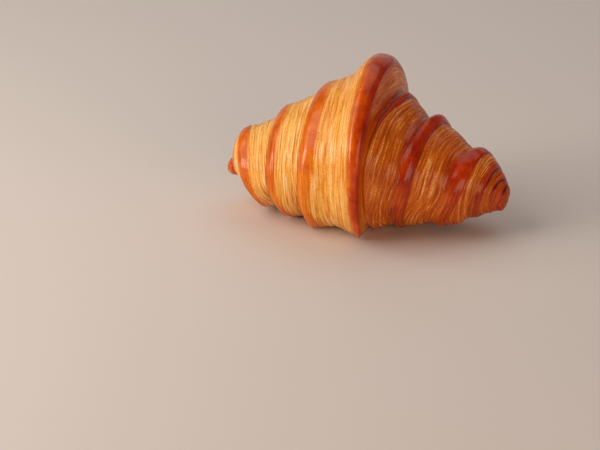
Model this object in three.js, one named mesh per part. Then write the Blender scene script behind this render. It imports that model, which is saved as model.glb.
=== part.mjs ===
import * as THREE from "three";

// A butter croissant: one long triangle of laminated dough, rolled from its base to its point and baked.
// It is one solid piece. Millimetres; X runs from tip to tip, +Y points to the back and +Z up.
// Angles go round the roll from the top, over the front (-Y) and underneath; the point of the triangle
// lies at the lower front, pressed under the roll.

// Overall size
const RIGHT_END = 68.2;
const LEFT_END = 69.6;

// The point of the sheet, and the four stations of a turn as degrees wound back from that point:
// the point itself, the front, the top and the back.
const POINT_ANGLE = 143;
const STATIONS = [0, 53, 143, 233];

// The middle of the smooth outer band, at the four stations.
const BAND_MIDDLE = [3.0, 4.0, 5.0, 3.0];

// Radius along the middle of the band as [share of a turn, radius]. The point of the sheet stands proud of
// the turn that it lies on.
const BAND_RADIUS = [
  [0, 45.2], [0.05, 44.4], [0.147, 43.7], [0.65, 43.7], [0.93, 40.5], [0.97, 41.0], [1, 45.2],
];

// The two cut edges of the sheet are spirals that start at the point and wind outwards to the tips.
// Each row is one turn. Each entry is [distance along the roll, radius at the edge, height of its lip].
const RIGHT_EDGE = [
  [[3.0, 45.2, 0.0], [6.3, 42.5, 0.0], [8.9, 41.0, 0.0], [10.0, 40.8, 0.0]],
  [[8.0, 37.4, 0.2], [8.2, 39.6, 0.0], [16.9, 28.2, 1.9], [20.5, 29.4, 1.4]],
  [[22.0, 30.5, 0.8], [27.4, 28.8, 1.0], [33.6, 22.8, 3.2], [38.5, 22.4, 2.4]],
  [[41.5, 23.2, 0.6], [49.0, 19.5, 0.9], [55.8, 15.8, 1.4], [59.0, 14.8, 1.0]],
  [[56.0, 13.6, 0.5], [58.0, 12.8, 0.6], [62.0, 10.6, 0.6], [63.4, 9.8, 0.5]],
  [[60.5, 11.4, 0.5], [61.4, 10.0, 0.4], [65.4, 6.8, 0.3], [66.2, 5.8, 0.2]],
  [[63.8, 9.4, 0.3], [66.0, 5.4, 0.2], [66.9, 4.2, 0.2], [67.4, 3.0, 0.1]],
];
const LEFT_EDGE = [
  [[-3.0, 45.2, 0.0], [-0.8, 42.4, 0.0], [1.0, 42.1, 0.0], [8.0, 41.6, 0.0]],
  [[25.2, 29.4, 7.4], [26.1, 30.0, 5.0], [25.6, 29.6, 4.2], [31.5, 28.5, 4.4]],
  [[39.6, 18.4, 9.4], [43.1, 23.2, 4.8], [44.8, 23.4, 4.2], [49.0, 20.6, 4.0]],
  [[52.0, 17.2, 3.6], [58.0, 17.4, 2.6], [62.8, 16.2, 2.2], [64.0, 11.6, 1.4]],
  [[63.5, 4.8, 0.5], [65.4, 5.0, 0.3], [67.0, 5.0, 0.3], [68.3, 3.8, 0.2]],
];

// Height of the roll's axis above the level of BASE_LEVEL, from the left tip to the right tip.
const AXIS = [
  [-70, 18.6], [-66, 19.9], [-62, 22.0], [-57, 22.8], [-50, 23.0], [-38, 26.4], [-24, 31.4], [-10, 36.2],
  [0, 38.2], [10, 36.4], [21, 32.4], [33, 28.9], [46, 25.8], [54, 24.4], [62, 22.8], [69, 20.8],
];
const BASE_LEVEL = 1.2;
const BASE_ROUNDING = 1.2;

// Cross-sections of one wrap, from the edge of the wrap above it (0) to its own edge (1).
const SLOPE_ABOVE = [[0, 0], [0.22, 0.45], [0.45, 0.95], [0.62, 1], [1, 1]];
const SLOPE_LATE = [[0, 0], [0.25, 0.3], [0.5, 0.8], [0.7, 1], [1, 1]];
const SLOPE_BELOW = [[0, 0], [0.3, 0.38], [0.7, 0.82], [1, 1]];
const SLOPE_END = [[0, 0], [0.38, 0.28], [0.62, 0.72], [1, 1]];
const SLOPE_FLAP = [[0, 0], [0.25, 0.4], [0.5, 0.85], [1, 1]];
const SADDLE = [[0, 0], [0.14, 0.36], [0.22, 0.66], [0.3, 0.88], [0.42, 1], [0.6, 1.03], [1, 1]];
const GENTLE = [[0, 0], [0.35, 0.55], [0.65, 0.92], [1, 1]];
const DOME = [[0, 0], [0.35, 0.06], [0.7, 0.32], [1, 1]];
const FLAP_THICKNESS = 1.6;
const FLAP_THINNING = 0.6;
const FLAP_CORNER = 0.35;
const POINT_WIDENING = 1.2;
const LIP_WIDTH = 5.2;
const SMALLEST_WRAP = 0.8;

// Facets: rows in one turn, and the places across a wrap where a column of points stands.
const ROWS = 42;
const RIGHT_COLUMNS = [0.06, 0.2, 0.36, 0.52, 0.7, 0.86, 1];
const LEFT_COLUMNS = [0.14, 0.3, 0.5, 0.68, 0.79, 0.88, 0.95, 1];

// Crust
const CRUST_COLOUR = "#b5601c";
const CRUST_ROUGHNESS = 0.45;

const DEGREES = Math.PI / 180;

const clamp01 = (value) => Math.min(1, Math.max(0, value));

function smoothStep(from, to, value) {
  const t = clamp01((value - from) / (to - from));
  return t * t * (3 - 2 * t);
}

// A smooth curve through hand-placed points that never swings past them.
function smoothCurve(points) {
  const widths = points.slice(1).map(([x], i) => x - points[i][0]);
  const slopes = points.slice(1).map(([, y], i) => (y - points[i][1]) / widths[i]);
  const tangents = points.map((point, i) => {
    if (i === 0) return slopes[0];
    if (i === points.length - 1) return slopes[i - 1];
    const product = slopes[i - 1] * slopes[i];
    return product > 0 ? (2 * product) / (slopes[i - 1] + slopes[i]) : 0;
  });
  return (x) => {
    let i = 0;
    while (i < widths.length - 1 && x >= points[i + 1][0]) i += 1;
    const t = clamp01((x - points[i][0]) / widths[i]);
    const start = (2 * t ** 3 - 3 * t ** 2 + 1) * points[i][1];
    const end = (3 * t ** 2 - 2 * t ** 3) * points[i + 1][1];
    const leave = (t ** 3 - 2 * t ** 2 + t) * widths[i] * tangents[i];
    const arrive = (t ** 3 - t ** 2) * widths[i] * tangents[i + 1];
    return start + end + leave + arrive;
  };
}

// One value of a spiral edge as a curve of the turns wound back from the point, ending at the tip.
function spiralCurve(turns, item, last) {
  const points = turns.flatMap((row, turn) => row.map((entry, i) => [turn + STATIONS[i] / 360, entry[item]]));
  return smoothCurve([...points, [turns.length, last]]);
}

// A closed curve round the roll from its values at the four stations.
function ringCurve(values) {
  const points = values.map((value, i) => [STATIONS[i] / 360, value]);
  return smoothCurve([...points, [1, values[0]]]);
}

const axisHeight = smoothCurve(AXIS);
const bandMiddle = ringCurve(BAND_MIDDLE);
const bandRadius = smoothCurve(BAND_RADIUS);
const slopeAbove = smoothCurve(SLOPE_ABOVE);
const slopeLate = smoothCurve(SLOPE_LATE);
const slopeBelow = smoothCurve(SLOPE_BELOW);
const slopeEnd = smoothCurve(SLOPE_END);
const slopeFlap = smoothCurve(SLOPE_FLAP);
const saddle = smoothCurve(SADDLE);
const gentle = smoothCurve(GENTLE);
const dome = smoothCurve(DOME);

// 1 on the upper back of the roll and 0 underneath.
const upperShare = (turn) => 0.5 + 0.5 * Math.cos((POINT_ANGLE + 20 - 360 * turn) * DEGREES);

const blend = (a, b, share) => a + (b - a) * share;

// The smooth band, which falls away on both sides of its middle.
const crownRadius = (t, inner, outer) => blend(inner.radius, outer.radius, t ** 3);

// The rounded end of the roll.
const capRadius = (t, inner) => inner.radius * Math.sqrt(1 - t ** 2.1);

// 1 beside the point of the dough. It rises on the last part of the band, which the point lies on, and
// fades round the first wrap.
function besideFlap(wrap, turn) {
  if (wrap === 0) return smoothStep(0.65, 1, turn);
  return wrap === 1 ? 1 - smoothStep(0.2, 0.6, turn) : 0;
}

// The sheet widens quickly from its point, so the band keeps its width almost down to there.
const bluntPoint = (turn) => POINT_WIDENING * smoothStep(0, 0.03, turn) * (1 - smoothStep(0.03, 0.15, turn));

// How thick the edge of the band stands on the wrap to its right.
function flapThickness(wrap, turn, upper) {
  const share = smoothStep(0.75, 1, turn);
  return wrap > 1 ? 0 : (FLAP_THICKNESS - FLAP_THINNING * upper) * (wrap === 0 ? share : 1 - share);
}

// 1 where the underside turns in towards the right tip.
function towardsTip(wrap, turn) {
  if (wrap === 3) return smoothStep(0.7, 1, turn);
  return wrap === 4 ? 1 - smoothStep(0, 0.4, turn) : 0;
}

// How a right-hand slope falls on the upper side of the roll.
function steepFall(wrap, t) {
  if (wrap > 3) return t;
  return wrap === 3 ? slopeLate(t) : slopeAbove(t);
}

// Right side: a steep fall from the wrap above, a shallow valley, then a rounded shoulder at the edge.
function rightRadius(wrap, turn, t, inner, outer) {
  const upper = upperShare(turn);
  const width = outer.along - inner.along;
  const under = blend(slopeBelow(t), slopeEnd(t), towardsTip(wrap, turn));
  const below = blend(under, slopeFlap(t), besideFlap(wrap, turn));
  const fall = blend(below, steepFall(wrap, t), upper);
  const shoulder = outer.lip * smoothStep(0.5, 0.84, t) * (1 - 0.7 * smoothStep(0.84, 1, t));
  const flap = flapThickness(wrap, turn, upper);
  const step = flap * (1 - Math.exp(-(((t * width) / FLAP_CORNER) ** 2))) * (1 - smoothStep(0.2, 1, t));
  const radius = blend(inner.radius, outer.radius, fall) + shoulder * Math.min(1, width / 8) - step;
  return wrap === 0 ? blend(crownRadius(t, inner, outer), radius, smoothStep(0.65, 1, turn)) : radius;
}

// Left side: a gentle fall from the wrap above that ends in a rounded lip over the edge.
function leftRadius(wrap, turn, t, inner, outer) {
  const width = outer.along - inner.along;
  const above = [gentle, saddle, gentle, gentle, dome][wrap](t);
  const below = blend(slopeBelow(t), slopeFlap(t), besideFlap(wrap, turn));
  const fall = blend(below, above, upperShare(turn));
  const overLip = width > 0 ? clamp01((t * width - width + LIP_WIDTH) / LIP_WIDTH) : 0;
  const rounding = 1 - Math.sqrt(1 - overLip ** 2.2);
  const radius = blend(inner.radius, outer.radius + outer.lip, fall) - outer.lip * rounding;
  return wrap === 0 ? blend(crownRadius(t, inner, outer), radius, smoothStep(0.65, 1, turn)) : radius;
}

// One half of the roll, measured outwards from the middle of the band. Wrap 0 is the band itself, and
// the last wrap closes the tip.
function makeSide(sign, edge, end, profile, columns) {
  const curves = [end, 0, 0].map((last, item) => spiralCurve(edge, item, last));

  function edgesAt(turn) {
    const edges = [{ along: sign * bandMiddle(turn), radius: bandRadius(turn) }];
    edge.forEach((_, wrap) => {
      const [place, radius, lip] = curves.map((curve) => curve(turn + wrap));
      const inner = edges[wrap];
      const outwards = wrap > 0 ? place : place + bluntPoint(turn);
      const along = Math.max(outwards, inner.along + (wrap > 0 ? SMALLEST_WRAP : 0));
      edges.push({ along, radius: Math.min(radius, inner.radius), lip });
    });
    return [...edges, { along: end, radius: 0 }];
  }

  function pointAt(wrap, t, turn) {
    const edges = edgesAt(turn);
    const [inner, outer] = [edges[wrap], edges[wrap + 1]];
    const along = blend(inner.along, outer.along, t);
    if (wrap === edge.length) return crustPoint(sign * along, capRadius(t, inner), turn);
    const radius = profile(wrap, turn, t, inner, outer);
    const closing = wrap === edge.length - 1 ? smoothStep(0.5, 1, turn) : 0;
    return crustPoint(sign * along, blend(radius, capRadius(t, inner), closing), turn);
  }

  return { sign, end, columns, wraps: edge.length + 1, pointAt };
}

// A point of the crust; the underside is pressed flat where the roll lay on the tray.
function crustPoint(x, radius, turn) {
  const angle = (POINT_ANGLE - 360 * turn) * DEGREES;
  const height = axisHeight(x) + radius * Math.cos(angle) - BASE_LEVEL;
  const pressed = Math.max(0, height + BASE_ROUNDING) ** 2 / (4 * BASE_ROUNDING);
  return [x, -radius * Math.sin(angle), height > BASE_ROUNDING ? height : pressed];
}

// Winds one side of the sheet. After a full turn every wrap meets the wrap inside it, so the last row of
// a wrap is the first row of the next one. The sheet has no width at its point or at the tip.
function windSide(side, points, faces) {
  const { sign, columns, wraps } = side;
  const tip = points.length;
  points.push([sign * side.end, 0, axisHeight(sign * side.end) - BASE_LEVEL]);
  const first = points.length;
  for (let row = 0; row < ROWS; row += 1) {
    for (let wrap = 0; wrap < wraps; wrap += 1) {
      points.push(...columns.map((t) => side.pointAt(wrap, t, row / ROWS)));
    }
  }

  function vertex(wrap, column, row) {
    if (row === ROWS) return wrap === wraps - 1 ? tip : vertex(wrap + 1, column, 0);
    if (wrap === wraps - 1 && column === columns.length - 1) return tip;
    if (wrap === 0 && row === 0) return 0;
    return first + (row * wraps + wrap) * columns.length + column;
  }

  function chain(row) {
    const wound = Array.from({ length: wraps }, (_, wrap) => columns.map((_, i) => vertex(wrap, i, row)));
    return [row % ROWS, ...wound.flat()];
  }

  for (let row = 0; row < ROWS; row += 1) {
    const [here, next] = [chain(row), chain(row + 1)];
    for (let i = 0; i < here.length - 1; i += 1) {
      const corners = [here[i], here[i + 1], next[i + 1], next[i]];
      if (sign < 0) corners.reverse();
      const [a, b, c, d] = corners;
      addFace(faces, a, b, c);
      addFace(faces, a, c, d);
    }
  }
}

function addFace(faces, a, b, c) {
  if (a !== b && b !== c && c !== a) faces.push(a, b, c);
}

// The closed surface: the ring of points along the middle of the band, and the two wound sides.
function crustGeometry(left, right) {
  const ridge = (turn) => crustPoint(bandMiddle(turn), bandRadius(turn), turn);
  const points = Array.from({ length: ROWS }, (_, row) => ridge(row / ROWS));
  const faces = [];
  windSide(right, points, faces);
  windSide(left, points, faces);
  const used = [...new Set(faces)];
  const renumbered = new Map(used.map((old, index) => [old, index]));
  return buildGeometry(used.map((old) => points[old]), faces.map((old) => renumbered.get(old)));
}

function buildGeometry(points, faces) {
  const geometry = new THREE.BufferGeometry();
  geometry.setAttribute("position", new THREE.Float32BufferAttribute(points.flat(), 3));
  geometry.setIndex(faces);
  geometry.computeVertexNormals();
  return geometry;
}

const rightSide = () => makeSide(1, RIGHT_EDGE, RIGHT_END, rightRadius, RIGHT_COLUMNS);
const leftSide = () => makeSide(-1, LEFT_EDGE, LEFT_END, leftRadius, LEFT_COLUMNS);

function crustMaterial() {
  return new THREE.MeshStandardMaterial({ color: CRUST_COLOUR, roughness: CRUST_ROUGHNESS, metalness: 0 });
}

// The roll, moved along X and Y so that the middle of its base is the origin.
function makeCroissant() {
  const geometry = crustGeometry(leftSide(), rightSide());
  geometry.computeBoundingBox();
  const centre = geometry.boundingBox.getCenter(new THREE.Vector3());
  geometry.translate(-centre.x, -centre.y, -geometry.boundingBox.min.z);
  const croissant = new THREE.Mesh(geometry, crustMaterial());
  croissant.name = "croissant";
  return croissant;
}

const part = new THREE.Group();
part.name = "part";
part.add(makeCroissant());

export default part;
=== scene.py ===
# %% [markdown]
# # A butter croissant
# A croissant is one long triangle of laminated dough, rolled from its base to its point and baked. The
# last turn stands up as a smooth band over the middle. On both sides of it each turn sticks out from under
# the next one, so the surface is a row of steps: a layered slope, then a rounded brown lip.
# It could be a stack of rings, but the real one is a single baked sheet, so it is one mesh here. It is
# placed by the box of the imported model, which is loaded first and never changed.

# %% Load the fixed frame
import math

import bpy
import numpy as np
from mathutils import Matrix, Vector


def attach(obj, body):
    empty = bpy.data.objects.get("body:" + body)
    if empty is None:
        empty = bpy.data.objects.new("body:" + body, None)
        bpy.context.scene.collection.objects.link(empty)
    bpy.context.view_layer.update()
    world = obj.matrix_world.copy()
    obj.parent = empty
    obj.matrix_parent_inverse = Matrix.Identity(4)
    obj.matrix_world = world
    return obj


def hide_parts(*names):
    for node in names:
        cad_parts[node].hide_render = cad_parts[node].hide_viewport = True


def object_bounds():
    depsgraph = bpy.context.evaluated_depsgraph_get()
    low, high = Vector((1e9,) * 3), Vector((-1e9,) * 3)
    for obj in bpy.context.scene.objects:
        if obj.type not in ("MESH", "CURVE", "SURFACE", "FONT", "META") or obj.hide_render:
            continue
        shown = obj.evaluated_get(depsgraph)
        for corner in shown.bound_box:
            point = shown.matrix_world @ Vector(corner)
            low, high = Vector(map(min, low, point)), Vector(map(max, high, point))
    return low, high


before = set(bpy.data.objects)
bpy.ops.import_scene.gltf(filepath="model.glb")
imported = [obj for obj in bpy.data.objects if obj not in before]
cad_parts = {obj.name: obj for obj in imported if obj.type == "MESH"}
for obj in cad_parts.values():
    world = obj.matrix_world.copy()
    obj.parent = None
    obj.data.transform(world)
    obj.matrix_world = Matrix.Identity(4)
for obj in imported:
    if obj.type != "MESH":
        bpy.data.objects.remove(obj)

CAD_BOX = [list(corner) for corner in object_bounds()]
MM = 0.001
print("CAD box in metres:", CAD_BOX)

# %% [markdown]
# ## Camera, floor and light
# The camera looks a little from the right and from well above, through a long lens, as one looks at food on
# a table. The floor is plain and pale. One lamp would leave half of the roll black, so there are five soft
# ones: a low and a high window on the left, which make the golden side bright, a warm fill at the right
# front, a wide sky lamp above the back, and a weak pale wall behind, which the glaze reflects as a haze.

# %% Linear colours, nodes and links
def linear(code):
    """An sRGB hex colour as linear RGBA: each channel is ((c + 0.055) / 1.055) to the power 2.4, or c / 12.92
    when it is dark."""
    channels = np.array([int(code[i:i + 2], 16) for i in (1, 3, 5)]) / 255
    bright = ((channels + 0.055) / 1.055) ** 2.4
    return (*np.where(channels <= 0.04045, channels / 12.92, bright), 1.0)


def add_node(tree, kind, settings=None, inputs=None):
    """Adds one node. settings are its properties, or the (place, hex colour) stops of its ramp. inputs give
    each named or numbered socket a value, or the output that feeds it."""
    node = tree.nodes.new(kind)
    for name, value in (settings or {}).items():
        if name != "stops":
            setattr(node, name, value)
            continue
        elements = node.color_ramp.elements
        for element, (position, code) in zip(elements, (value[0], value[-1])):
            element.position, element.color = position, linear(code)
        for position, code in value[1:-1]:
            elements.new(position).color = linear(code)
    for name, value in (inputs or {}).items():
        if isinstance(value, bpy.types.NodeSocket):
            tree.links.new(value, node.inputs[name])
        else:
            node.inputs[name].default_value = value
    return node


def new_material(name):
    """An empty node material and its tree."""
    material = bpy.data.materials.new(name)
    material.use_nodes = True
    material.node_tree.nodes.clear()
    return material, material.node_tree


print("pure white is", linear("#ffffff"))

# %% Camera
VIEW_AZIMUTH = math.radians(16)
VIEW_ELEVATION = math.radians(24)
VIEW_DISTANCE = 1.357
VIEW_CENTRE = np.array([-30.1, -10.0, -3.8]) * MM


def direction(azimuth, elevation):
    """The unit vector from the croissant towards a viewer or a lamp, by sine and cosine of the two angles:
    azimuth 0 is the front, -Y, and 90 is +X."""
    level = math.cos(elevation)
    return np.array([math.sin(azimuth) * level, -math.cos(azimuth) * level, math.sin(elevation)])


def aim(thing, place, target):
    """Puts a camera or a lamp at a place and turns it to look at the target."""
    thing.location = place
    thing.rotation_euler = Vector(target - place).to_track_quat("-Z", "Y").to_euler()
    bpy.context.scene.collection.objects.link(thing)


camera = bpy.data.objects.new("Camera", bpy.data.cameras.new("Camera"))
camera.data.lens = 171
camera.data.sensor_width = 36
camera.data.clip_start = 0.01
camera.data.clip_end = 20
aim(camera, VIEW_CENTRE + VIEW_DISTANCE * direction(VIEW_AZIMUTH, VIEW_ELEVATION), VIEW_CENTRE)
bpy.context.scene.camera = camera
print("camera at", [round(v, 3) for v in camera.location])

# %% Floor
FLOOR_SIZE = 4.0
half = FLOOR_SIZE / 2
floor_mesh = bpy.data.meshes.new("Floor")
floor_mesh.from_pydata([(-half, -half, 0), (half, -half, 0), (half, half, 0), (-half, half, 0)],
                       [], [(0, 1, 2, 3)])
floor = bpy.data.objects.new("Floor", floor_mesh)
bpy.context.scene.collection.objects.link(floor)
table, tree = new_material("Pale matt table")
paint = add_node(tree, "ShaderNodeBsdfPrincipled", {}, {"Base Color": linear("#d4ccc6"), "Roughness": 0.75})
add_node(tree, "ShaderNodeOutputMaterial", {}, {"Surface": paint.outputs[0]})
floor_mesh.materials.append(table)
print("floor:", FLOOR_SIZE, "m square,", table.name)

# %% Light
LAMPS = [
    # name, azimuth, elevation, distance, width, height, power, colour
    ("Low window", -55, 9, 0.8, 0.34, 0.34, 3.5, "#fff3e8"),
    ("High window", -66, 42, 0.8, 0.7, 0.7, 4.2, "#fff3e8"),
    ("Fill", 40, 9, 1.0, 0.8, 0.5, 5.0, "#ffdcb8"),
    ("Sky", 172, 62, 1.1, 1.5, 1.0, 4.2, "#fbf6f4"),
    ("Wall", 196, 15, 1.2, 2.0, 0.6, 1.7, "#f6efe9"),
]
LAMP_TARGET = np.array([0.0, 0.0, 0.035])
ROOM_COLOUR = "#eeebec"
ROOM_STRENGTH = 0.1
for name, azimuth, elevation, distance, width, height, power, colour in LAMPS:
    lamp = bpy.data.lights.new(name, "AREA")
    lamp.shape = "RECTANGLE"
    lamp.size, lamp.size_y = width, height
    lamp.energy = power
    lamp.color = linear(colour)[:3]
    place = LAMP_TARGET + distance * direction(math.radians(azimuth), math.radians(elevation))
    aim(bpy.data.objects.new(name, lamp), place, LAMP_TARGET)
world = bpy.data.worlds.new("Room")
world.use_nodes = True
world.node_tree.nodes["Background"].inputs["Color"].default_value = linear(ROOM_COLOUR)
world.node_tree.nodes["Background"].inputs["Strength"].default_value = ROOM_STRENGTH
bpy.context.scene.world = world
bpy.context.scene.view_settings.view_transform = "Standard"
print("lamps:", [row[0] for row in LAMPS])

# %% [markdown]
# ## The rolled sheet
# The two cut edges of the triangle are spirals. They start at its point, which lies under the front, and
# wind outwards to the two tips. One could model each turn by hand, but the steps then never meet properly on
# the back. Here the surface follows the spirals instead: one parameter is the turn, counted back from the
# point, and the other runs across one wrap, from the edge of the wrap above it (0) to its own edge (1).
# After a full turn every wrap becomes the next one, so the steps join up by themselves.

# %% Sizes of the sheet in millimetres
RIGHT_END = 68.2
LEFT_END = 69.6
POINT_ANGLE = 143.0  # degrees from the top of the roll over the front to the point
STATIONS = np.array([0, 53, 143, 233]) / 360  # point, front, top and back, as shares of a turn
LEAST_WIDTH = 0.8
BAND_MIDDLE = [3.0, 4.0, 5.0, 3.0]
# Radius along the middle of the band by the share of a turn: the point stands proud of the turn it lies on.
BAND_RADIUS = [(0, 45.2), (0.05, 44.4), (0.147, 43.7), (0.65, 43.7), (0.93, 40.5), (0.97, 41.0), (1, 45.2)]

# One row per turn, one entry per station: distance along the roll, radius at the edge, height of the lip.
RIGHT_EDGE = np.array([
    [[3.0, 45.2, 0.0], [6.3, 42.5, 0.0], [8.9, 41.0, 0.0], [10.0, 40.8, 0.0]],
    [[8.0, 37.4, 0.2], [8.2, 39.6, 0.0], [16.9, 28.2, 1.9], [20.5, 29.4, 1.4]],
    [[22.0, 30.5, 0.8], [27.4, 28.8, 1.0], [33.6, 22.8, 3.2], [38.5, 22.4, 2.4]],
    [[41.5, 23.2, 0.6], [49.0, 19.5, 0.9], [55.8, 15.8, 1.4], [59.0, 14.8, 1.0]],
    [[56.0, 13.6, 0.5], [58.0, 12.8, 0.6], [62.0, 10.6, 0.6], [63.4, 9.8, 0.5]],
    [[60.5, 11.4, 0.5], [61.4, 10.0, 0.4], [65.4, 6.8, 0.3], [66.2, 5.8, 0.2]],
    [[63.8, 9.4, 0.3], [66.0, 5.4, 0.2], [66.9, 4.2, 0.2], [67.4, 3.0, 0.1]],
])
LEFT_EDGE = np.array([
    [[-3.0, 45.2, 0.0], [-0.8, 42.4, 0.0], [1.0, 42.1, 0.0], [8.0, 41.6, 0.0]],
    [[25.2, 29.4, 7.4], [26.1, 30.0, 5.0], [25.6, 29.6, 4.2], [31.5, 28.5, 4.4]],
    [[39.6, 18.4, 9.4], [43.1, 23.2, 4.8], [44.8, 23.4, 4.2], [49.0, 20.6, 4.0]],
    [[52.0, 17.2, 3.6], [58.0, 17.4, 2.6], [62.8, 16.2, 2.2], [64.0, 11.6, 1.4]],
    [[63.5, 4.8, 0.5], [65.4, 5.0, 0.3], [67.0, 5.0, 0.3], [68.3, 3.8, 0.2]],
])
# Height of the roll's axis along its length, before the roll settles into its flat base by SETTLED.
AXIS = [
    (-70, 18.6), (-66, 19.9), (-62, 22.0), (-57, 22.8), (-50, 23.0), (-38, 26.4), (-24, 31.4), (-10, 36.2),
    (0, 38.2), (10, 36.4), (21, 32.4), (33, 28.9), (46, 25.8), (54, 24.4), (62, 22.8), (69, 20.8),
]
SETTLED = 1.2
SIDES = {1: (RIGHT_EDGE, RIGHT_END), -1: (LEFT_EDGE, LEFT_END)}
print("wraps on the right and left:", len(RIGHT_EDGE) + 1, len(LEFT_EDGE) + 1)


# %% Smooth curves and blends
def smooth_curve(points, at):
    """A cubic Hermite curve through the points. Its slope at a point is the harmonic mean of the two chords
    beside it, or 0 at a peak."""
    xs, ys = np.asarray(points, float).T
    widths = np.diff(xs)
    chords = np.diff(ys) / widths
    product = chords[:-1] * chords[1:]
    total = np.where(product > 0, chords[:-1] + chords[1:], 1)
    slopes = np.r_[chords[0], np.where(product > 0, 2 * product / total, 0), chords[-1]]
    at = np.asarray(at, float)
    i = np.clip(np.searchsorted(xs, at, side="right") - 1, 0, len(widths) - 1)
    t = np.clip((at - xs[i]) / widths[i], 0, 1)
    start, end = (2 * t**3 - 3 * t**2 + 1) * ys[i], (3 * t**2 - 2 * t**3) * ys[i + 1]
    leave, arrive = (t**3 - 2 * t**2 + t) * slopes[i], (t**3 - t**2) * slopes[i + 1]
    return start + end + widths[i] * (leave + arrive)


def ease(start, end, value):
    """0 before start, 1 after end and 3t^2 - 2t^3 in between."""
    t = np.clip((value - start) / (end - start), 0, 1)
    return t * t * (3 - 2 * t)


def mix(a, b, share):
    """a + (b - a) times share."""
    return a + (b - a) * share


print("half way, eased and mixed:", float(ease(0, 1, 0.5)), mix(2, 4, 0.5))


# %% The two spiral edges
def spiral(rows, item, last, turns):
    """One value of a spiral edge at these turns, through all its stations, ending with last at the tip."""
    places = (np.arange(len(rows))[:, None] + STATIONS).ravel()
    knots = np.c_[np.r_[places, len(rows)], np.r_[rows[:, :, item].ravel(), last]]
    return smooth_curve(knots, turns)


def band_middle(turn):
    """Where the middle of the band lies along the roll: a closed smooth curve through its four stations."""
    return smooth_curve(np.c_[np.r_[STATIONS, 1], BAND_MIDDLE + BAND_MIDDLE[:1]], turn)


def blunt_point(turn):
    """Extra width of the band just after its point: it rises in the first 3% of the turn and is gone after
    15%."""
    return 1.2 * ease(0, 0.03, turn) * (1 - ease(0.03, 0.15, turn))


def edges_of(side, turn):
    """Along, radius and lip of every edge, from the band's middle to the tip, at these places of a turn."""
    rows, end = SIDES[side]
    nothing = np.zeros_like(turn)
    edges = [(side * band_middle(turn), smooth_curve(BAND_RADIUS, turn), nothing)]
    for wrap in range(len(rows)):
        along, radius, lip = (spiral(rows, item, end if item == 0 else 0, turn + wrap) for item in range(3))
        inner = edges[-1]
        least = inner[0] + LEAST_WIDTH if wrap else inner[0]
        along = along if wrap else along + blunt_point(turn)
        edges.append((np.maximum(along, least), np.minimum(radius, inner[1]), lip))
    edges.append((np.full_like(turn, end), nothing, nothing))
    return np.array(edges)


on_top = edges_of(1, STATIONS[2:3])[:, 0, 0]
print("right-hand edges over the top, mm along the roll:", np.round(on_top, 1))

# %% [markdown]
# ## Cross-sections of a wrap
# Baked dough swells where nothing holds it, so each wrap ends in a rounded lip that overhangs the next
# slope. Towards the brown tip the slopes fall steeply into a shallow valley before the shoulder. Towards
# the golden tip they fall gently. A bevel could round a row of cones, but every lip here has its own height,
# so each profile is a smooth curve through a few points: the share of the width, the share of the fall.

# %% Profile curves
SLOPE_ABOVE = [(0, 0), (0.22, 0.45), (0.45, 0.95), (0.62, 1), (1, 1)]
SLOPE_LATE = [(0, 0), (0.25, 0.3), (0.5, 0.8), (0.7, 1), (1, 1)]
SLOPE_BELOW = [(0, 0), (0.3, 0.38), (0.7, 0.82), (1, 1)]
SLOPE_END = [(0, 0), (0.38, 0.28), (0.62, 0.72), (1, 1)]
SLOPE_FLAP = [(0, 0), (0.25, 0.4), (0.5, 0.85), (1, 1)]
STRAIGHT = [(0, 0), (1, 1)]
RIGHT_ABOVE = [SLOPE_ABOVE, SLOPE_ABOVE, SLOPE_ABOVE, SLOPE_LATE, STRAIGHT, STRAIGHT, STRAIGHT]
SADDLE = [(0, 0), (0.14, 0.36), (0.22, 0.66), (0.3, 0.88), (0.42, 1), (0.6, 1.03), (1, 1)]
GENTLE = [(0, 0), (0.35, 0.55), (0.65, 0.92), (1, 1)]
DOME = [(0, 0), (0.35, 0.06), (0.7, 0.32), (1, 1)]
LEFT_ABOVE = [GENTLE, SADDLE, GENTLE, GENTLE, DOME]
LIP_WIDTH = 5.2
UPPER_MIDDLE = 20  # degrees that the middle of the upper profiles is turned to the back
print("upper profiles on the right and left:", len(RIGHT_ABOVE), len(LEFT_ABOVE))


# %% Radius across a wrap
def upper_share(turn):
    """1 on the upper back and 0 underneath: half of one plus the cosine of the angle from the upper back."""
    return 0.5 + 0.5 * np.cos(np.radians(POINT_ANGLE + UPPER_MIDDLE - 360 * turn))


def fall_below(wrap, turn, t):
    """The slope on the underside; it is hollow beside the point."""
    beside_flap = ease(0.65, 1, turn) if wrap == 0 else 1 - ease(0.2, 0.6, turn) if wrap == 1 else 0
    return mix(smooth_curve(SLOPE_BELOW, t), smooth_curve(SLOPE_FLAP, t), beside_flap)


def crowned(inner, outer, radius, turn, t):
    """The band's profile, a fall by t cubed, which becomes the given radius late in the first turn."""
    return mix(mix(inner, outer, t**3), radius, ease(0.65, 1, turn))


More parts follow.
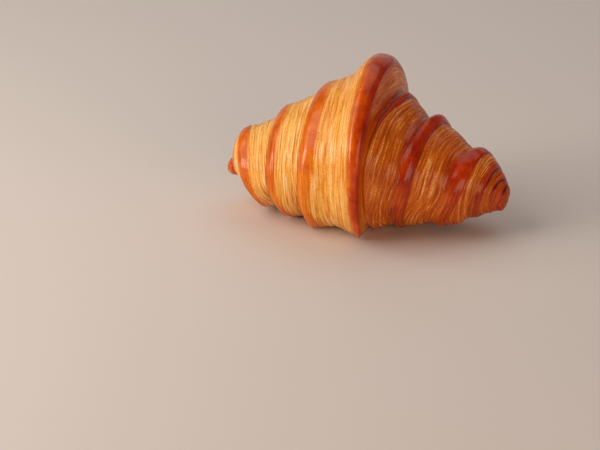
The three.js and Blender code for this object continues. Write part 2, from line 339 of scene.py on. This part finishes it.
def right_radius(wrap, turn, t, width, inner, outer, lip):
    """A steep fall from the wrap above, a shallow valley, then a rounded shoulder of the lip's height. Beside
    the point the fall starts one thickness of the flap lower."""
    upper = upper_share(turn)
    near_tip = ease(0.7, 1, turn) if wrap == 3 else 1 - ease(0, 0.4, turn) if wrap == 4 else 0
    below = mix(fall_below(wrap, turn, t), smooth_curve(SLOPE_END, t), near_tip)
    above = smooth_curve(RIGHT_ABOVE[wrap], t)
    shoulder = lip * ease(0.5, 0.84, t) * (1 - 0.7 * ease(0.84, 1, t)) * np.minimum(1, width / 8)
    beside_point = ease(0.75, 1, turn) if wrap == 0 else 1 - ease(0.75, 1, turn) if wrap == 1 else 0
    flap = (1.6 - 0.6 * upper) * beside_point
    step = flap * (1 - np.exp(-(t * width / 0.35) ** 2)) * (1 - ease(0.2, 1, t))
    radius = mix(inner, outer, mix(below, above, upper)) + shoulder - step
    return crowned(inner, outer, radius, turn, t) if wrap == 0 else radius


def left_radius(wrap, turn, t, width, inner, outer, lip):
    """A gentle fall from the wrap above to the lip's height, then a rounded drop to the edge."""
    above = smooth_curve(LEFT_ABOVE[wrap], t)
    fall = mix(fall_below(wrap, turn, t), above, upper_share(turn))
    over = np.clip((t * width - width + LIP_WIDTH) / LIP_WIDTH, 0, 1) * (width > 0)
    radius = mix(inner, outer + lip, fall) - lip * (1 - np.sqrt(1 - over**2.2))
    return crowned(inner, outer, radius, turn, t) if wrap == 0 else radius


def wrap_surface(side, wrap, turn, t):
    """Distance along the roll and radius for a grid of turns (down) and places across one wrap (across). The
    last wrap is a round cap, and the one before it grows into that cap."""
    edges = edges_of(side, turn)[:, :, :, None]
    (start, inner, _), (stop, outer, lip) = edges[wrap], edges[wrap + 1]
    turn = turn[:, None]
    last = len(edges) - 2
    cap = inner * np.sqrt(1 - t**2.1)
    if wrap == last:
        return side * mix(start, stop, t), cap
    profile = right_radius if side > 0 else left_radius
    radius = profile(wrap, turn, t, stop - start, inner, outer, lip)
    if wrap == last - 1:
        radius = mix(radius, cap, ease(0.5, 1, turn))
    return side * mix(start, stop, t), radius


_, band_top = wrap_surface(1, 0, STATIONS[2:3], np.array([[0.0, 1.0]]))
print("radius over the top, middle and right edge of the band:", np.round(band_top[0], 1))

# %% [markdown]
# ## Relief of the crust
# The slopes show the cut layers of the dough as fine lines that run round the roll, drift a little and
# break off. A bump in the material would not show at the outline, so the lines are moved in the mesh. They
# are worked out in the flat sheet's own coordinates, in millimetres: how far back from the point, and how
# far in from the cut edge. So they follow the spirals.

# %% Noise in the sheet's coordinates
RANDOM = np.random.default_rng(11).random((64, 256, 256))


def noise(x, y, layer):
    """Smooth value noise from 0 to 1: a table of random numbers on a square lattice, eased between its
    points."""
    table = RANDOM[layer]
    i, j = np.floor(x).astype(int), np.floor(y).astype(int)
    u, v = ease(0, 1, x - i), ease(0, 1, y - j)
    i, j = i % 256, j % 256
    near = mix(table[i, j], table[(i + 1) % 256, j], u)
    far = mix(table[i, (j + 1) % 256], table[(i + 1) % 256, (j + 1) % 256], u)
    return mix(near, far, v)


def layer_lines(back, across, layer):
    """Heights of the layers' edges, from -1 to 1: noise that is far longer along the wrap than across it, in
    three widths, warped a little by two softer noises."""
    drift = noise(back / 17, across / 9, layer) - 0.5
    wriggle = noise(back / 6, across / 3, layer + 1) - 0.5
    across = across + 1.5 * drift + 0.6 * wriggle
    broad = noise(back / 12, across / 1.1, layer + 2)
    medium = noise(back / 8, across / 0.5, layer + 3)
    fine = noise(back / 6, across / 0.36, layer + 4)
    return np.clip(2.8 * (0.12 * broad + 0.44 * medium + 0.44 * fine - 0.5), -1, 1)


sample = layer_lines(np.linspace(0, 90, 500), np.linspace(0, 30, 500), 0)
print("layer lines, lowest, mean and highest:", np.round([sample.min(), sample.mean(), sample.max()], 2))


# %% Lengths on the sheet
def sheet_length(side, turns):
    """Length wound off the point up to these turns: the sum of the edge's radius times the angle, in mm."""
    rows, _ = SIDES[side]
    steps = np.linspace(0, len(rows) + 1, 400)
    radius = np.maximum(spiral(rows, 1, 0, steps), 4)
    wound = np.r_[0, np.cumsum((radius[1:] + radius[:-1]) / 2 * np.diff(steps) * 2 * np.pi)]
    return np.interp(turns, steps, wound)


def walk_to_edge(places):
    """Distance over the surface from each point to the wrap's own edge: the sum of the paces that are left."""
    paces = np.linalg.norm(np.diff(places, axis=1), axis=-1)
    walked = np.pad(np.cumsum(paces, axis=1), ((0, 0), (1, 0)))
    return walked[:, -1:] - walked


def along_sheet(values, turns):
    """A value given for the upper front of every wrap, joined by straight lines along the sheet."""
    return np.interp(turns - 0.3, np.arange(len(values)), values)[:, None]


print("sheet wound on the right, mm:", round(float(sheet_length(1, 6.0)), 1))

# %% [markdown]
# ## Where the crust is brown
# Heat browns what sticks out. The outside of the sheet shows only on the lips and on the band, so they are
# brown and smooth, and the layered slopes stay pale. A mask painted by hand would not follow the spirals,
# so brownness is worked out from the distance to the cut edge. Towards the underside the lips are paler,
# and the flat base, which lay on the tray, is evenly toasted, almost without lines.

# %% Brownness, and tone with painted shade
# Width of the brown lip and of its fade in mm, and the least brownness, by wrap and side.
BROWN_LIP = {1: [9, 2.6, 4.6, 5.0, 0.4, 0, 0, 0], -1: [5, 8.0, 3.4, 2.8, 1.4, 9]}
BROWN_FADE = {1: [1, 3.4, 6.0, 7.0, 3.0, 1.5, 1, 1], -1: [1, 3.6, 4.0, 3.6, 2.0, 1]}
LEAST_BROWN = {1: [0, 0, 0, 0, 0.05, 0.3, 0.5, 0.6], -1: [0, 0.1, 0, 0, 0, 0.6]}
BAND_BROWN = (7, 10)  # mm from the middle of the band to where its brown starts and ends fading
PALER_BELOW = 0.5
TRAY_BROWN = 0.6
TRAY_HEIGHTS = (-1, 2.5)  # mm: toasted all over below the first, not at all above the second


def joins_next(turn):
    """1 at the end of the band's turn, where it runs on beside its own point as the next wrap, else 0."""
    return ease(0.8, 0.98, turn)[:, None]


def toasting(side, wrap, turn, back, across, inside, tray):
    """How toasted the crust is, from 0 to 1: 1 on the lip, faded across the slope, less on the underside and
    at the point, and at least as much as the tray or the tip gives."""
    turns = wrap + turn
    waver = 1 + 0.8 * (noise(back / 14, across / 40 + 3, 40) - 0.5)
    lip, fade = along_sheet(BROWN_LIP[side], turns) * waver, along_sheet(BROWN_FADE[side], turns)
    toasted = 1 - ease(lip, lip + fade, across)
    if wrap == 0:
        # On the right the band keeps 0.4 of its brown beside its own point: painted shade low beside the flap.
        kept_brown_and_shade = 0.4 if side > 0 else 1
        band = np.maximum(toasted, 1 - ease(*BAND_BROWN, inside))
        toasted = mix(band, kept_brown_and_shade * toasted, joins_next(turn))
        toasted = toasted * (0.5 + 0.5 * ease(0, 0.035, turn)[:, None])
    # On the right just after the point, 0.4 of the brown stays: painted shade low beside the flap.
    if side > 0 and wrap == 1:
        toasted = toasted * mix(ease(0.17, 0.34, turn), 0.4, 1 - ease(0, 0.1, turn))[:, None]
    lower = ease(0.35, -0.35, np.cos(np.radians(POINT_ANGLE - 360 * turn)))
    lower = lower * np.interp(turns, [0.9, 1.1], [0, 1])
    toasted = np.maximum(toasted * (1 - PALER_BELOW * lower[:, None]), along_sheet(LEAST_BROWN[side], turns))
    return np.maximum(toasted, TRAY_BROWN * tray)


def tone_and_shade_of(side, wrap, turn, t, inside):
    """0 on the golden side and 1 on the amber side, eased over the band and beside its point. The amber side is
    partly a browner bake and partly painted shade, as it faces away from the windows.
    """
    share = np.ones_like(inside)
    from_point = ease(0, 8, inside)
    if wrap == 0:
        share = mix(ease(0, 1, t), from_point, joins_next(turn))
    elif wrap == 1:
        share = mix(from_point, 1, ease(0, 0.12, turn)[:, None])
    return 0.5 + 0.5 * side * share


print("brown lip on the upper front, mm, right:", BROWN_LIP[1][1:4], "left:", BROWN_LIP[-1][1:4])

# %% [markdown]
# ## Creases and swelling
# Where a wrap's edge meets the slope below it there is a narrow crease. A boolean cut would leave a hard
# edge, so the surface is pulled in by a bell curve instead. The crust is also softly uneven all over,
# because steam lifts it in places, and the steep shoulders on the right stand a little fuller.

# %% Crease and swell
CREASE_DEPTH = {1: [0.4, 0.3, 0.35, 0.35, 1.1, 1.3, 1.1, 0.6], -1: [0.3, 0.3, 0.35, 0.4, 0.5, 0.3]}
CREASE_WIDTH = 0.45
DARKEST_CREASE = 1.2  # mm: a crease this deep gets its darkest burnt glaze and painted shade
LINE_HEIGHT = 0.32
SWELL_HEIGHT = 0.6
RIPPLE_HEIGHT = 0.25
SWELL_ORIGIN = 200  # mm: where in the noise the croissant lies


def edge_depth(side, turns):
    """How deep the crease along an edge is, in mm. It begins at the point. On the right it is hidden beside the
    end of the point, and on the last turns it is shallow underneath."""
    shown = np.interp(turns, [0, 0.95, 1], [0, 0, 1])
    if side > 0:
        shown = shown * np.interp(turns, [1.8, 1.95, 2.17, 2.34], [1, 0, 0, 1])
        angle = turns % 1
        shallow = 0.2 + 0.8 * ease(0.15, 0.25, angle) * (1 - ease(0.8, 0.95, angle))
        shown = shown * np.where(turns > 4, shallow, 1)
    return along_sheet(CREASE_DEPTH[side], turns - 1) * shown[:, None]


def crease_of(side, turns, width, across, inside):
    """Share and depth of the crease: a bell curve of the distance from the wrap's two edges."""
    outer, inner = np.exp(-(across / CREASE_WIDTH) ** 2), np.exp(-(inside / CREASE_WIDTH) ** 2)
    depth = mix(edge_depth(side, turns + 1), edge_depth(side, turns), inner / (outer + inner + 1e-6))
    share = np.clip(outer + inner, 0, 1) * np.clip(depth / 0.3, 0, 1) * ease(0, 1.5, width)
    return share, depth


def swell_of(side, turns, across, places):
    """Soft unevenness in mm: broad and small noise in space, and on the right a bell curve on each shoulder
    with a hollow behind it."""
    x, y, z = np.moveaxis(places, -1, 0) + SWELL_ORIGIN
    swell = SWELL_HEIGHT * (noise(x / 12, y / 17, 50) + noise(x / 14, z / 17, 51) - 1)
    swell = swell + RIPPLE_HEIGHT * (noise(x / 4.5, y / 6, 53) + noise(x / 5, z / 6, 54) - 1)
    if side > 0:
        shoulder = 0.3 * np.exp(-(((across - 3) / 2.8) ** 2)) - 0.45 * np.exp(-(((across - 8) / 2.8) ** 2))
        swell = swell + shoulder * np.interp(turns, [1.4, 2, 3.8, 4.3], [0, 1, 1, 0])[:, None]
    return swell


depths = edge_depth(1, np.array([2.5, 3.5, 4.5, 5.5]))[:, 0]
print("crease on the right, by turn, mm:", np.round(depths, 2))


# %% Finish of one wrap
def wrap_finish(side, wrap, turn, t, places):
    """Seven values over one wrap's grid and the relief: length back from the point, distance from the edge,
    relief in mm, brownness, share of layer lines, their height, darkness of the crease, which is burnt glaze
    and painted shade, and tone, which is partly painted shade."""
    edges = edges_of(side, turn)[:, :, :, None]
    width = edges[wrap + 1][0] - edges[wrap][0]
    across, inside = (1 - t) * width, t * width
    turns = wrap + turn
    back = np.broadcast_to(sheet_length(side, turns)[:, None], across.shape)
    down = walk_to_edge(places)
    tray = 1 - ease(*TRAY_HEIGHTS, places[:, :, 2])
    toasted = toasting(side, wrap, turn, back, across, inside, tray)
    blotch = noise(back / 9, across / 4, 52)
    brown = np.clip(toasted + 0.25 * (blotch - 0.5) * (toasted < 1), 0, 1)
    lined = (1 - toasted) ** 0.6 * ease(0, 0.8, inside) * ease(0, 0.8, across) * (1 - 0.8 * tray)
    lines = layer_lines(back, down, 0 if side > 0 else 8) * ease(1, 5, width)
    crease, depth = crease_of(side, turns, width, across, inside)
    swell = swell_of(side, turns, across, places)
    x, y, z = np.moveaxis(places, -1, 0)
    from_axis = np.hypot(y, z + SETTLED - smooth_curve(AXIS, x))
    relief = mix(swell + LINE_HEIGHT * lined * lines, -depth, crease)
    relief = relief * ease(0, 3, width) * ease(0, 4, from_axis) * (1 - tray)
    # Darkness of the crease: partly burnt glaze, partly painted shade.
    crease_burn_and_shade = crease * np.clip(depth / DARKEST_CREASE, 0, 1)
    return back, down, relief, brown, lined, 0.5 + 0.5 * lines, crease_burn_and_shade, tone_and_shade_of(side, wrap, turn, t, inside)


print("relief of the lines, mm:", LINE_HEIGHT, "and of the swell:", SWELL_HEIGHT)

# %% [markdown]
# ## One closed mesh
# Every wrap is a grid with the same columns, closer together near its edges. The wraps with fine lines keep
# all of them; the band and the last turns keep every fourth. Rows of both kinds still meet point by point,
# because squares that lost a side become triangles. The last row of a wrap is the first row of the next one,
# so the mesh closes without merging points by distance, which could weld the narrow creases shut.

# %% Rows, columns and kept columns
ROWS = 118
COLUMNS = 96
COARSE = 4
FINE_WRAPS = {1: (1, 2, 3, 4), -1: (1, 2, 3)}
STORED = 7  # values that each corner of a face keeps


def crowded(count):
    """count + 1 places from 0 to 1, closer together near both ends: s - 0.35 sin(2 pi s) / (2 pi)."""
    even = np.linspace(0, 1, count + 1)
    return even - 0.35 * np.sin(2 * np.pi * even) / (2 * np.pi)


def kept_columns(side, wrap):
    """For every row and full column, the column really kept: all in the end rows and fine wraps, else every
    fourth."""
    full = np.arange(COLUMNS + 1)
    kept = full if wrap in FINE_WRAPS[side] else -(-full // COARSE) * COARSE
    grid = np.tile(kept, (ROWS + 1, 1))
    grid[0] = grid[ROWS] = full
    return grid


ACROSS = crowded(COLUMNS)
TURN = crowded(ROWS)
print("widest step along a turn, degrees:", round(float(np.diff(TURN).max()) * 360, 2))


# %% Number the vertices and join the grids
def wind_side(side, ridge, free):
    """The vertex numbers of every wrap's grid on one side, and the next free number. A wrap's first column is
    the last column of the wrap above, and its last row is the first row of the next wrap."""
    wraps = len(SIDES[side][0]) + 1
    tip, free = free, free + 1
    numbers = []
    inner = ridge
    for wrap in range(wraps):
        size = COLUMNS if wrap in FINE_WRAPS[side] else COLUMNS // COARSE
        kept = kept_columns(side, wrap)[1:ROWS, 1:] // (COLUMNS // size) - 1
        number = np.empty((ROWS + 1, COLUMNS + 1), int)
        number[0, 1:] = ridge[0] if wrap == 0 else free + np.arange(COLUMNS)
        free += COLUMNS if wrap else 0
        number[1:ROWS, 1:] = free + np.arange(ROWS - 1)[:, None] * size + kept
        free += (ROWS - 1) * size
        number[:ROWS, 0] = inner[:ROWS]
        inner = number[:, COLUMNS]
        numbers.append(number)
    numbers[-1][:, COLUMNS] = tip
    numbers[-1][ROWS] = tip
    for wrap in range(wraps - 1):
        numbers[wrap][ROWS] = numbers[wrap + 1][0]
    for wrap in range(1, wraps):
        numbers[wrap][ROWS, 0] = numbers[wrap - 1][ROWS, COLUMNS]
    return numbers, free


def triangles_of(number, side):
    """Two triangles for every square of a grid, as flat grid places, without those that lost a corner."""
    flat = np.arange(number.size).reshape(number.shape)
    a, b, c, d = flat[:-1, :-1], flat[:-1, 1:], flat[1:, 1:], flat[1:, :-1]
    squares = [(a, b, c), (a, c, d)] if side > 0 else [(c, b, a), (d, c, a)]
    corners = np.concatenate([np.stack(three, -1).reshape(-1, 3) for three in squares])
    v = number.ravel()[corners]
    return corners[(v[:, 0] != v[:, 1]) & (v[:, 1] != v[:, 2]) & (v[:, 2] != v[:, 0])]


def unpressed(along, radius, turn):
    """A point of the roll before its base is pressed: the axis's height plus the radius at that angle."""
    angle = np.radians(POINT_ANGLE - 360 * turn)
    height = smooth_curve(AXIS, along) + radius * np.cos(angle) - SETTLED
    return np.stack([along, -radius * np.sin(angle), height], -1)


ridge = np.r_[np.arange(ROWS), 0]
right_numbers, free = wind_side(1, ridge, ROWS)
left_numbers, free = wind_side(-1, ridge, free)
print("vertex numbers given out:", free)


# %% Wind the surface
def wind_croissant(grids, count):
    """All vertices with their relief, all faces, and each face corner's sheet coordinates and finish."""
    points, relief = np.zeros((count, 3)), np.zeros(count)
    points[:ROWS] = unpressed(band_middle(TURN), smooth_curve(BAND_RADIUS, TURN), TURN)[:ROWS]
    faces, values = [], []
    for side, numbers in grids:
        for wrap, number in enumerate(numbers):
            t = ACROSS[kept_columns(side, wrap)]
            along, radius = wrap_surface(side, wrap, TURN, t)
            places = unpressed(along, radius, TURN[:, None])
            back, down, height, *finish = wrap_finish(side, wrap, TURN, t, places)
            points[number], relief[number] = places, height
            corners = triangles_of(number, side)
            faces.append(number.ravel()[corners])
            values.append(np.stack([back, down, *finish], -1).reshape(-1, STORED)[corners])
    return points, relief, np.concatenate(faces), np.concatenate(values)


points, relief, faces, corner_values = wind_croissant([(1, right_numbers), (-1, left_numbers)], free)
used, faces = np.unique(faces, return_inverse=True)
faces = faces.reshape(-1, 3)
points, relief = points[used], relief[used]
print("vertices", len(points), "triangles", len(faces))

# %% [markdown]
# ## Relief and flat base
# The relief moves each point along the surface's own direction, as a Displace modifier would, but it is
# done here so that it can be mostly away from the axis: a move along the roll would fold the creases. Then
# the base is pressed flat, as dough flattens on its tray, and the croissant is set in the middle of the
# CAD model's box.

# %% Raise the relief and press the base flat
OUTWARDS = np.array([0.2, 1, 1])
BASE_ROUNDING = 1.2


def vertex_normals(points, faces):
    """The sum of the normals of the faces round each vertex, made one long."""
    a, b, c = (points[faces[:, i]] for i in range(3))
    normal = np.cross(b - a, c - a)
    shares = [np.bincount(faces.ravel(), np.repeat(normal[:, i], 3), len(points)) for i in range(3)]
    total = np.stack(shares, -1)
    return total / np.maximum(np.linalg.norm(total, axis=1, keepdims=True), 1e-12)


def press_base(points):
    """Pushes what is below the tray up to its level, with a parabola of the rounding's half-width between."""
    height = points[:, 2]
    pressed = np.maximum(0, height + BASE_ROUNDING) ** 2 / (4 * BASE_ROUNDING)
    return np.c_[points[:, :2], np.where(height > BASE_ROUNDING, height, pressed)]


bare = press_base(points)
shape = press_base(points + relief[:, None] * OUTWARDS * vertex_normals(points, faces))
low, high = np.array(CAD_BOX) / MM
shift = np.r_[((low + high) / 2 - (bare.min(0) + bare.max(0)) / 2)[:2], low[2] - bare[:, 2].min()]
shape = (shape + shift) * MM
print("size in mm:", np.round(np.ptp(shape, axis=0) / MM, 1))

# %% Put it into a mesh
SHEET_UNIT = 10  # mm to one unit of the sheet map
croissant_mesh = bpy.data.meshes.new("Croissant")
croissant_mesh.from_pydata(shape, [], faces)
croissant_mesh.shade_smooth()
sheet_map = croissant_mesh.uv_layers.new(name="Sheet")
sheet_map.uv.foreach_set("vector", (corner_values[:, :, :2].reshape(-1) / SHEET_UNIT).astype(np.float32))
for name, first in (("Brown, lined, height", 2), ("Crease, tone", 5)):
    attribute = croissant_mesh.color_attributes.new(name, "FLOAT_COLOR", "CORNER")
    kept = corner_values.reshape(-1, STORED)[:, first:first + 3]
    colour = np.ones((len(faces) * 3, 4), np.float32)
    colour[:, :kept.shape[1]] = kept
    attribute.data.foreach_set("color", colour.ravel())
croissant = bpy.data.objects.new("Croissant", croissant_mesh)
bpy.context.scene.collection.objects.link(croissant)
kept_names = [attribute.name for attribute in croissant_mesh.color_attributes]
print("mesh:", len(croissant_mesh.polygons), "triangles with", kept_names)

# %% [markdown]
# ## Egg-washed crust
# The crust is wheat dough brushed with beaten egg and baked. To the eye it is a matt, thready bread surface
# under a thin varnish. One noise could tint the whole of it, but the real finish depends on where it is on
# the sheet, so the material reads the values that the mesh carries: brownness, layer lines, crease and tone.

# %% Values carried by the mesh
crust, tree = new_material("Egg-washed laminated crust")
carried = []
for name in ("Brown, lined, height", "Crease, tone"):
    stored = add_node(tree, "ShaderNodeVertexColor", {"layer_name": name}).outputs["Color"]
    carried += list(add_node(tree, "ShaderNodeSeparateColor", {}, {"Color": stored}).outputs)
brown, lined, height, crease, tone, _ = carried
print(crust.name, "reads", len(carried) - 1, "values of the mesh")

# %% [markdown]
# ## Patterns in the crust
# Threads of dough run along the layers, the oven leaves cloudy patches, and tiny bubbles make a grain. Where
# the glaze ends, burst blisters show as small pale brown pits. All are noises with a real size. The threads
# follow the sheet map and the others follow Object coordinates, in metres. Bubbles of 0.3 mm are too fine to
# show at this distance, so the grain is drawn at 0.8 mm.

# %% Patterns in millimetres
THREAD_WIDTH = 0.4545
THREAD_STRETCH = 0.08
PATCH_SIZE = 10.0
GRAIN_SIZE = 0.8333
PIT_SPACING = 1.613
sheet = add_node(tree, "ShaderNodeUVMap", {"uv_map": "Sheet"}).outputs[0]
along_threads = {"Vector": sheet, "Scale": (THREAD_STRETCH, 1, 1)}
stretched = add_node(tree, "ShaderNodeMapping", {}, along_threads).outputs[0]
place = add_node(tree, "ShaderNodeTexCoord").outputs["Object"]
NOISES = {
    # pattern: coordinates, scale, detail, roughness
    "streaks": (stretched, SHEET_UNIT / THREAD_WIDTH, 3.0, 0.65),
    "patches": (place, 1 / (PATCH_SIZE * MM), 4.0, 0.6),
    "grain": (place, 1 / (GRAIN_SIZE * MM), 2.0, 0.6),
}
patterns = {}
for name, (coordinates, scale, detail, roughness) in NOISES.items():
    inputs = {"Vector": coordinates, "Scale": scale, "Detail": detail, "Roughness": roughness}
    patterns[name] = add_node(tree, "ShaderNodeTexNoise", {}, inputs).outputs[0]
cells = {"Vector": place, "Scale": 1 / (PIT_SPACING * MM), "Randomness": 1.0}
pits = add_node(tree, "ShaderNodeTexVoronoi", {}, cells).outputs["Distance"]


def weighted_sum(start, *terms):
    """start plus the sum of each pattern times its weight, as a chain of multiply-and-add."""
    total = start
    for pattern, weight in terms:
        inputs = {0: pattern, 1: weight, 2: total}
        total = add_node(tree, "ShaderNodeMath", {"operation": "MULTIPLY_ADD"}, inputs).outputs[0]
    return total


streaks, patches, grain = patterns["streaks"], patterns["patches"], patterns["grain"]
thread = weighted_sum(-0.945, (height, 0.85), (streaks, 0.85), (patches, 0.51), (grain, 0.68))
skin = weighted_sum(-0.2, (patches, 1.0), (grain, 0.4))
print("noises:", {name: round(row[1], 1) for name, row in NOISES.items()})

# %% [markdown]
# ## Colours of the crust
# Dough goes from cream through gold and orange to red-brown as it bakes. Each finish gets its own run of
# colours, and they are laid over each other by brownness: slope, then the verge where the glaze begins,
# then the glazed lip. Each finish comes in a golden and an amber tone: the golden tip is baked paler, and
# the amber side's darker copies also hold painted shade, as it faces away from the windows. Last, the creases
# are darkened: partly glaze that burns in them, partly painted shade where little light gets in.

# %% Colours of the slopes and the lips
# The amber and red runs are the amber side's browner bake and also painted shade of that side.
RAMPS = {
    # finish or mask: the pattern it follows, and its stops from low to high
    "golden slope": (thread, [(0.1, "#ca7210"), (0.32, "#dc922c"), (0.58, "#e6ac54"), (0.76, "#eec07c"),
                              (0.95, "#f4d2a0")]),
    "amber slope": (thread, [(0.1, "#9e4206"), (0.35, "#b85206"), (0.6, "#ca660e"), (0.78, "#dc8836"),
                             (0.95, "#f0b474")]),
    "golden verge": (thread, [(0.2, "#c25800"), (0.8, "#e68a1c")]),
    "amber verge": (thread, [(0.2, "#8c2600"), (0.8, "#c45604")]),
    "russet glaze": (skin, [(0.25, "#a43e00"), (0.5, "#c85c04"), (0.75, "#de7c16")]),
    "red glaze": (skin, [(0.25, "#881600"), (0.5, "#aa2a00"), (0.75, "#c64600")]),
    # The creases' darkening is partly burnt glaze and partly painted shade.
    "burnt crease": (crease, [(0.05, "#ffffff"), (0.33, "#e8c0a0"), (0.9, "#a06038")]),
    "mask of red": (tone, [(0.0, "#000000"), (0.5, "#e6e6e6"), (1.0, "#ffffff")]),
    "mask of verge": (brown, [(0.0, "#000000"), (0.5, "#ffffff")]),
    "mask of glaze": (brown, [(0.35, "#000000"), (1.0, "#ffffff")]),
    "edge of glaze": (brown, [(0.12, "#000000"), (0.25, "#ffffff"), (0.5, "#ffffff"), (0.8, "#000000")]),
    "pit": (pits, [(0.12, "#ffffff"), (0.26, "#000000")]),
}
shades = {"tone": tone}
for name, (pattern, stops) in RAMPS.items():
    shades[name] = add_node(tree, "ShaderNodeValToRGB", {"stops": stops}, {"Fac": pattern}).outputs[0]
shades["mask of pits"] = add_node(tree, "ShaderNodeMath", {"operation": "MULTIPLY"},
                                  {0: shades["pit"], 1: shades["edge of glaze"]}).outputs[0]
PIT_COLOURS = [(0.0, "#b06420"), (1.0, "#a05a1c")]
shades["pit brown"] = add_node(tree, "ShaderNodeValToRGB", {"stops": PIT_COLOURS},
                               {"Fac": shades["mask of pits"]}).outputs[0]
print("runs of colour and masks:", len(shades) - 1)

# %% Lay the finishes over each other
LAYERS = [
    # result, mask, where the mask is black, where it is white
    ("slopes", "tone", "golden slope", "amber slope"),
    ("verges", "tone", "golden verge", "amber verge"),
    ("lips", "mask of red", "russet glaze", "red glaze"),
    ("slopes and verges", "mask of verge", "slopes", "verges"),
    ("crust", "mask of glaze", "slopes and verges", "lips"),
    ("pitted crust", "mask of pits", "crust", "pit brown"),
]
for name, mask, first, second in LAYERS:
    inputs = {"Factor": shades[mask], "A": shades[first], "B": shades[second]}
    shades[name] = add_node(tree, "ShaderNodeMix", {"data_type": "RGBA"}, inputs).outputs[2]
# The burnt glaze and painted shade of the creases are multiplied over the crust.
darken = {"data_type": "RGBA", "blend_type": "MULTIPLY"}
inputs = {"Factor": 1.0, "A": shades["pitted crust"], "B": shades["burnt crease"]}
crust_colour = add_node(tree, "ShaderNodeMix", darken, inputs).outputs[2]
print("layers:", [row[0] for row in LAYERS])

# %% [markdown]
# ## Shine of the egg wash
# Egg wash dries to a thin, hard varnish. Polishing the crust itself would wash out its colour, so a clear
# coat over it carries the reflections of the windows, and the crust below hardly reflects at all. Dried
# egg has an IOR near 1.4. The brush only touches the ridges of the slopes, so they are rougher than the lips.
# Threads and grain get a fine bump on top of the relief in the mesh.

# %% Shine and fine relief
BUMP_HEIGHT = 0.3 * MM
gloss = weighted_sum(0.0, (brown, 0.7), (patches, 0.3))
DULL_TO_GLOSSY = [(0.1, "#c8c8c8"), (0.9, "#808080")]
roughness = add_node(tree, "ShaderNodeValToRGB", {"stops": DULL_TO_GLOSSY}, {"Fac": gloss})
fine = weighted_sum(0.0, (streaks, lined), (grain, 0.25))
bump = add_node(tree, "ShaderNodeBump", {}, {"Strength": 0.6, "Distance": BUMP_HEIGHT, "Height": fine})
crust_shader = add_node(tree, "ShaderNodeBsdfPrincipled", {}, {
    "Base Color": crust_colour, "Roughness": roughness.outputs[0], "Normal": bump.outputs[0],
    "IOR": 1.4, "Specular IOR Level": 0.06, "Coat Weight": 0.5, "Coat Roughness": 0.18,
})
add_node(tree, "ShaderNodeOutputMaterial", {}, {"Surface": crust_shader.outputs[0]})
croissant_mesh.materials.append(crust)
print("nodes in the crust:", len(tree.nodes))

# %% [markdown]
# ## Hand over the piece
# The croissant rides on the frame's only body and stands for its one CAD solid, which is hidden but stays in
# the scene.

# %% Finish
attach(croissant, "root")
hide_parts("croissant")
